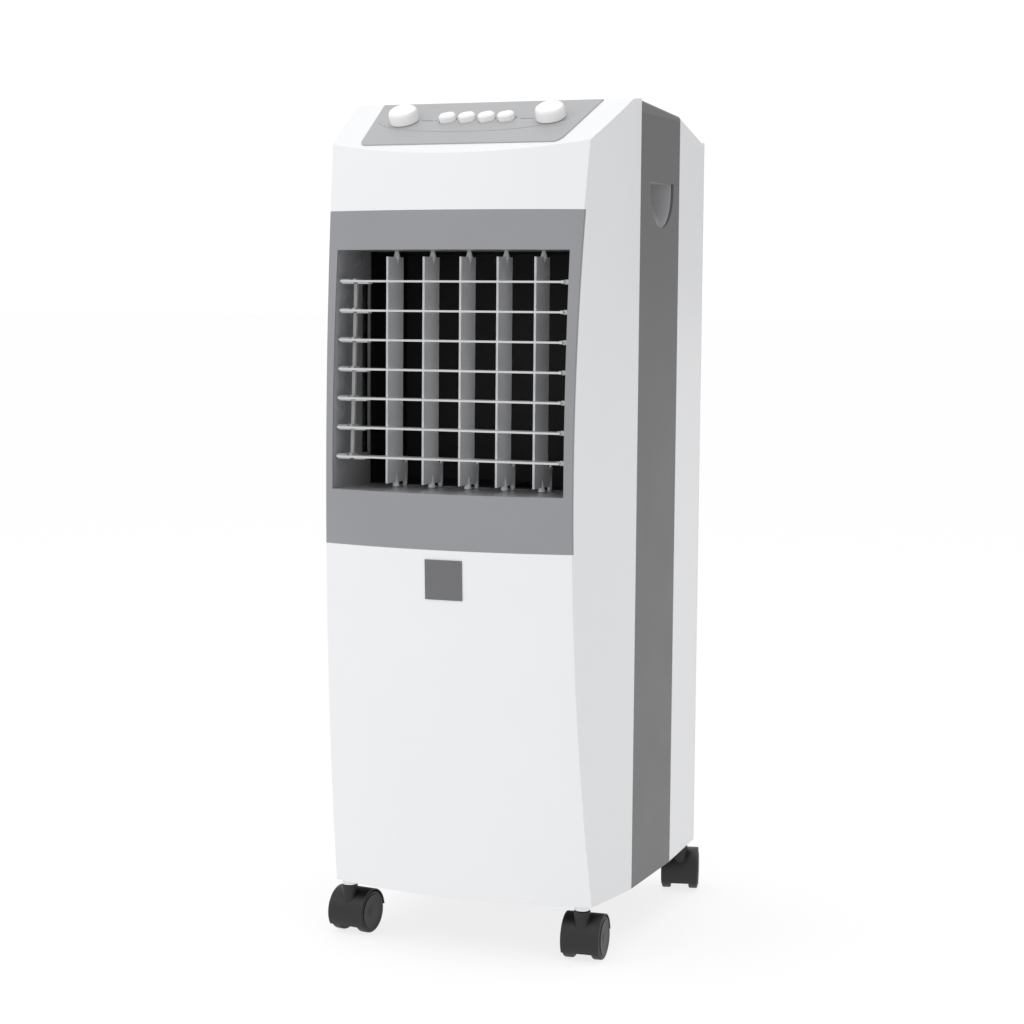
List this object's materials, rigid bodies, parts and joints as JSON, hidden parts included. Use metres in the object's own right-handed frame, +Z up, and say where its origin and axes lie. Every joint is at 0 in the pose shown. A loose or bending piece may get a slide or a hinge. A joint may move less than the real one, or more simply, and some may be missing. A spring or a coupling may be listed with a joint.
{
  "type": "evaporative cooler",
  "caption": "Portable tower evaporative cooler with a louvred outlet, sloped control panel, rear pad cassette, slide-out water tank and twin-wheel casters.",
  "frame": {"origin": "on the floor under the middle of the body, halfway between its front and back", "axes": "+X to the cooler's right as seen from the front, -Y to the front where the air comes out, +Z up"},
  "size_m": [0.2806, 0.3776, 0.78],
  "materials": {
    "white_shell": "satin gloss",
    "grey_bezel": "fine satin",
    "grey_band": "satin",
    "light_grey_cap": "satin",
    "panel_grey": "satin",
    "louvre_grey": "satin",
    "duct_grey": "satin",
    "white_control": "gloss",
    "badge_grey": "gloss",
    "dark_plastic": "matte",
    "black_plastic": "satin",
    "caster_tread": "satin",
    "bright_steel": "bright plating",
    "motor_steel": "brushed",
    "ivory_plastic": "satin",
    "pad_fibre": "corrugated fibre",
    "filter_mesh": "fine mesh",
    "hose_silicone": "translucent silicone",
    "tank_plastic": "frosted"
  },
  "bodies": {
    "cabinet": {"front_shell": "white_shell", "rear_shell": "white_shell", "rear_side_left": "white_shell", "rear_side_right": "white_shell", "side_band_left": "grey_band", "side_band_right": "grey_band", "top_cap": "light_grey_cap", "handle_cups": "dark_plastic", "base_plate": "grey_band", "outlet_bezel": "grey_bezel", "outlet_duct": "duct_grey", "control_panel": "panel_grey", "badge": "badge_grey", "control_box": "dark_plastic", "swing_motor": "motor_steel", "air_hood": "black_plastic", "scroll_front": "dark_plastic", "scroll_rear": "dark_plastic", "fan_motor": "motor_steel", "water_tray": "white_shell", "pump": "black_plastic", "hose": "hose_silicone", "cord_gland": "black_plastic", "screws": "bright_steel", "caster_stems": "bright_steel"},
    "timer_knob": {"timer_knob": "white_control"},
    "mode_knob": {"mode_knob": "white_control"},
    "button_off": {"button_off": "white_control"},
    "button_low": {"button_low": "white_control"},
    "button_medium": {"button_medium": "white_control"},
    "button_high": {"button_high": "white_control"},
    "louvre_1": {"louvre_1": "louvre_grey"},
    "louvre_2": {"louvre_2": "louvre_grey"},
    "louvre_3": {"louvre_3": "louvre_grey"},
    "louvre_4": {"louvre_4": "louvre_grey"},
    "louvre_5": {"louvre_5": "louvre_grey"},
    "louvre_6": {"louvre_6": "louvre_grey"},
    "louvre_7": {"louvre_7": "louvre_grey"},
    "louvre_link": {"louvre_link": "louvre_grey"},
    "vane_1": {"vane_1": "louvre_grey"},
    "vane_2": {"vane_2": "louvre_grey"},
    "vane_3": {"vane_3": "louvre_grey"},
    "vane_4": {"vane_4": "louvre_grey"},
    "vane_5": {"vane_5": "louvre_grey"},
    "vane_link": {"vane_link": "dark_plastic"},
    "swing_crank": {"swing_crank": "ivory_plastic"},
    "blower": {"blower_wheel": "ivory_plastic"},
    "cassette": {"pad_cassette": "white_shell", "cooling_pad": "pad_fibre", "dust_filter": "filter_mesh"},
    "tank": {"tank": "tank_plastic"},
    "tank_latch": {"tank_latch": "grey_band"},
    "caster_front_left": {"hood_front_left": "black_plastic"},
    "wheels_front_left": {"wheels_front_left": "caster_tread"},
    "caster_front_right": {"hood_front_right": "black_plastic"},
    "wheels_front_right": {"wheels_front_right": "caster_tread"},
    "caster_back_left": {"hood_back_left": "black_plastic"},
    "wheels_back_left": {"wheels_back_left": "caster_tread"},
    "caster_back_right": {"hood_back_right": "black_plastic"},
    "wheels_back_right": {"wheels_back_right": "caster_tread"}
  },
  "joints": [
    {"name": "timer_turn", "type": "hinge", "parent": "cabinet", "child": "timer_knob", "pos_m": [-0.072, -0.0972, 0.75925], "axis": [0, 0.4695, -0.8829], "range_deg": [0, 300]},
    {"name": "mode_turn", "type": "hinge", "parent": "cabinet", "child": "mode_knob", "pos_m": [0.072, -0.0972, 0.75925], "axis": [0, 0.4695, -0.8829], "range_deg": [0, 135]},
    {"name": "off_press", "type": "slide", "parent": "cabinet", "child": "button_off", "axis": [0, 0.4695, -0.8829], "range_m": [0, 0.0035], "stiffness_N_per_m": 300},
    {"name": "low_press", "type": "slide", "parent": "cabinet", "child": "button_low", "axis": [0, 0.4695, -0.8829], "range_m": [0, 0.0035], "stiffness_N_per_m": 300},
    {"name": "medium_press", "type": "slide", "parent": "cabinet", "child": "button_medium", "axis": [0, 0.4695, -0.8829], "range_m": [0, 0.0035], "stiffness_N_per_m": 300},
    {"name": "high_press", "type": "slide", "parent": "cabinet", "child": "button_high", "axis": [0, 0.4695, -0.8829], "range_m": [0, 0.0035], "stiffness_N_per_m": 300},
    {"name": "louvre_1_tilt", "type": "hinge", "parent": "cabinet", "child": "louvre_1", "pos_m": [0, -0.15481, 0.4551], "axis": [1, 0, 0], "range_deg": [-35, 35]},
    {"name": "louvre_2_tilt", "type": "hinge", "parent": "cabinet", "child": "louvre_2", "pos_m": [0, -0.15362, 0.4815], "axis": [1, 0, 0], "range_deg": [-35, 35]},
    {"name": "louvre_3_tilt", "type": "hinge", "parent": "cabinet", "child": "louvre_3", "pos_m": [0, -0.15244, 0.5079], "axis": [1, 0, 0], "range_deg": [-35, 35]},
    {"name": "louvre_4_tilt", "type": "hinge", "parent": "cabinet", "child": "louvre_4", "pos_m": [0, -0.15125, 0.5343], "axis": [1, 0, 0], "range_deg": [-35, 35]},
    {"name": "louvre_5_tilt", "type": "hinge", "parent": "cabinet", "child": "louvre_5", "pos_m": [0, -0.15007, 0.5607], "axis": [1, 0, 0], "range_deg": [-35, 35]},
    {"name": "louvre_6_tilt", "type": "hinge", "parent": "cabinet", "child": "louvre_6", "pos_m": [0, -0.14888, 0.5871], "axis": [1, 0, 0], "range_deg": [-35, 35]},
    {"name": "louvre_7_tilt", "type": "hinge", "parent": "cabinet", "child": "louvre_7", "pos_m": [0, -0.14769, 0.6135], "axis": [1, 0, 0], "range_deg": [-35, 35]},
    {"name": "louvre_link_turn", "type": "hinge", "parent": "louvre_1", "child": "louvre_link", "pos_m": [-0.1028, -0.14181, 0.4551], "axis": [1, 0, 0], "range_deg": [-35, 35]},
    {"name": "vane_1_swing", "type": "hinge", "parent": "cabinet", "child": "vane_1", "pos_m": [-0.0722, -0.11299, 0.4255], "axis": [0, 0, 1], "range_deg": [-30, 30]},
    {"name": "vane_2_swing", "type": "hinge", "parent": "cabinet", "child": "vane_2", "pos_m": [-0.0361, -0.11299, 0.4255], "axis": [0, 0, 1], "range_deg": [-30, 30]},
    {"name": "vane_3_swing", "type": "hinge", "parent": "cabinet", "child": "vane_3", "pos_m": [0, -0.11299, 0.4255], "axis": [0, 0, 1], "range_deg": [-30, 30]},
    {"name": "vane_4_swing", "type": "hinge", "parent": "cabinet", "child": "vane_4", "pos_m": [0.0361, -0.11299, 0.4255], "axis": [0, 0, 1], "range_deg": [-30, 30]},
    {"name": "vane_5_swing", "type": "hinge", "parent": "cabinet", "child": "vane_5", "pos_m": [0.0722, -0.11299, 0.4255], "axis": [0, 0, 1], "range_deg": [-30, 30]},
    {"name": "vane_link_turn", "type": "hinge", "parent": "vane_1", "child": "vane_link", "pos_m": [-0.0722, -0.09299, 0.4215], "axis": [0, 0, 1], "range_deg": [-30, 30]},
    {"name": "crank_spin", "type": "hinge", "parent": "cabinet", "child": "swing_crank", "pos_m": [0, -0.117, 0.4095], "axis": [0, 0, 1], "continuous": true},
    {"name": "blower_spin", "type": "hinge", "parent": "cabinet", "child": "blower", "pos_m": [0, -0.06, 0.3171], "axis": [0, 1, 0], "continuous": true},
    {"name": "cassette_slide", "type": "slide", "parent": "cabinet", "child": "cassette", "axis": [0, 1, 0], "range_m": [0, 0.06]},
    {"name": "tank_slide", "type": "slide", "parent": "cabinet", "child": "tank", "axis": [0, 1, 0], "range_m": [0, 0.14]},
    {"name": "latch_turn", "type": "hinge", "parent": "cabinet", "child": "tank_latch", "pos_m": [0, 0.1785, 0.209], "axis": [0, 1, 0], "range_deg": [0, 90]},
    {"name": "swivel_front_left", "type": "hinge", "parent": "cabinet", "child": "caster_front_left", "pos_m": [-0.117, -0.1165, 0.048], "axis": [0, 0, 1], "continuous": true},
    {"name": "roll_front_left", "type": "hinge", "parent": "caster_front_left", "child": "wheels_front_left", "pos_m": [-0.11575, -0.10457, 0.02], "axis": [0.9945, -0.1045, 0], "continuous": true},
    {"name": "swivel_front_right", "type": "hinge", "parent": "cabinet", "child": "caster_front_right", "pos_m": [0.117, -0.1165, 0.048], "axis": [0, 0, 1], "continuous": true},
    {"name": "roll_front_right", "type": "hinge", "parent": "caster_front_right", "child": "wheels_front_right", "pos_m": [0.11595, -0.10455, 0.02], "axis": [0.9962, 0.0872, 0], "continuous": true},
    {"name": "swivel_back_left", "type": "hinge", "parent": "cabinet", "child": "caster_back_left", "pos_m": [-0.1205, 0.162, 0.048], "axis": [0, 0, 1], "continuous": true},
    {"name": "roll_back_left", "type": "hinge", "parent": "caster_back_left", "child": "wheels_back_left", "pos_m": [-0.118, 0.17374, 0.02], "axis": [0.9781, -0.2079, 0], "continuous": true},
    {"name": "swivel_back_right", "type": "hinge", "parent": "cabinet", "child": "caster_back_right", "pos_m": [0.1205, 0.162, 0.048], "axis": [0, 0, 1], "continuous": true},
    {"name": "roll_back_right", "type": "hinge", "parent": "caster_back_right", "child": "wheels_back_right", "pos_m": [0.11739, 0.17359, 0.02], "axis": [0.9659, 0.2588, 0], "continuous": true}
  ],
  "couplings": [
    {"joint": "louvre_2_tilt", "follows": "louvre_1_tilt", "ratio": 1},
    {"joint": "louvre_3_tilt", "follows": "louvre_1_tilt", "ratio": 1},
    {"joint": "louvre_4_tilt", "follows": "louvre_1_tilt", "ratio": 1},
    {"joint": "louvre_5_tilt", "follows": "louvre_1_tilt", "ratio": 1},
    {"joint": "louvre_6_tilt", "follows": "louvre_1_tilt", "ratio": 1},
    {"joint": "louvre_7_tilt", "follows": "louvre_1_tilt", "ratio": 1},
    {"joint": "louvre_link_turn", "follows": "louvre_1_tilt", "ratio": -1},
    {"joint": "vane_2_swing", "follows": "vane_1_swing", "ratio": 1},
    {"joint": "vane_3_swing", "follows": "vane_1_swing", "ratio": 1},
    {"joint": "vane_4_swing", "follows": "vane_1_swing", "ratio": 1},
    {"joint": "vane_5_swing", "follows": "vane_1_swing", "ratio": 1},
    {"joint": "vane_link_turn", "follows": "vane_1_swing", "ratio": -1}
  ]
}
